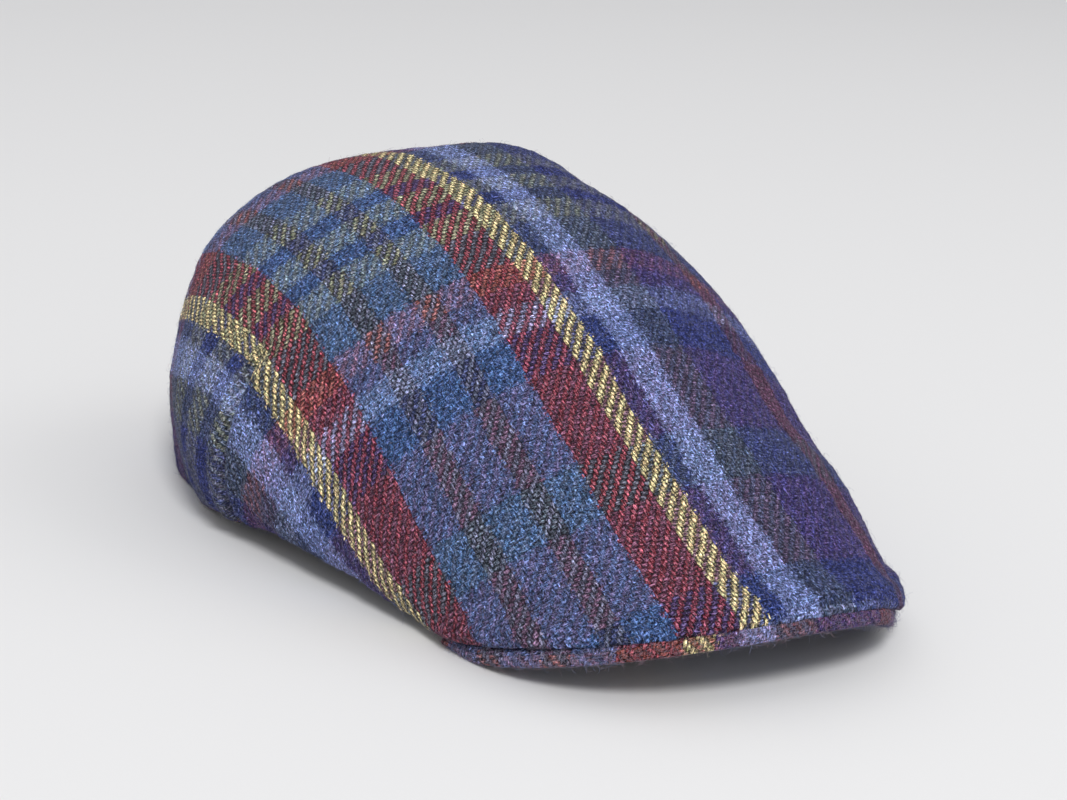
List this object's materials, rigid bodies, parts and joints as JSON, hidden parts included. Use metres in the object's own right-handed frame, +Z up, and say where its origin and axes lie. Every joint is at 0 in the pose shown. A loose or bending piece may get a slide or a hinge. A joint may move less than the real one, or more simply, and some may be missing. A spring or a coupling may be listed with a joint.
{
  "type": "flat cap",
  "caption": "Duckbill flat cap in plaid wool tweed: a one-piece soft crown sewn along its front to a short stiff peak, open underneath for the head.",
  "frame": {"origin": "centre of the cap's bounding box at its underside, the plane the cap lies on", "axes": "+Z up, -Y towards the front (the peak), +X towards the wearer's left"},
  "size_m": [0.1992, 0.2772, 0.1079],
  "materials": {
    "tweed": "brushed wool twill in a plaid of blue, red, yellow and lavender"
  },
  "bodies": {
    "root": {"crown": "tweed", "peak": "tweed"}
  },
  "joints": []
}
